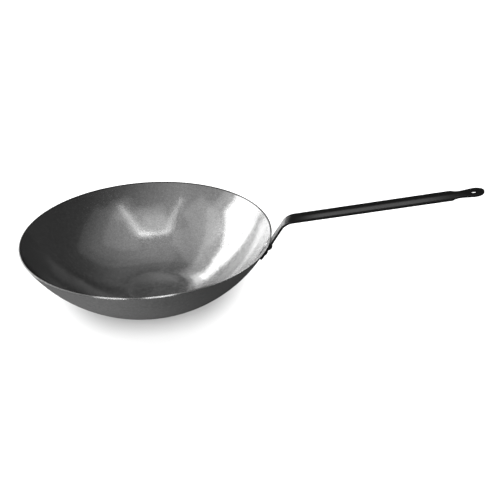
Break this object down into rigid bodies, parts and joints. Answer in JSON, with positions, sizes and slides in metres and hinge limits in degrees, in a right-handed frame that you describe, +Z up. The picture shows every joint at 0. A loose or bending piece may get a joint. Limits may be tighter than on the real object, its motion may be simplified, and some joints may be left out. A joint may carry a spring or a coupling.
{
  "type": "carbon steel wok",
  "caption": "Round-sided flat-bottomed wok of bare carbon steel, with a long black strip handle riveted under its rim and bent up to a hanging eye.",
  "frame": {"origin": "centre of the flat base, on its underside", "axes": "+X from the bowl out along the handle, +Z up, +Y to the cook's right as the cook looks from the grip to the bowl"},
  "size_m": [0.5621, 0.3196, 0.1759],
  "materials": {
    "bowl_steel": "bare cold-rolled carbon steel, lightly brushed and mottled by its oil film",
    "handle_black": "black baked lacquer on hot-rolled strip, semi-gloss, worn at the edges and on the riser",
    "rivet_steel": "bare steel inside the bowl, black lacquer over the outer heads"
  },
  "bodies": {
    "root": {"bowl": "bowl_steel", "handle": "handle_black", "rivet_upper_left": "rivet_steel", "rivet_upper_right": "rivet_steel", "rivet_lower": "rivet_steel"}
  },
  "joints": []
}
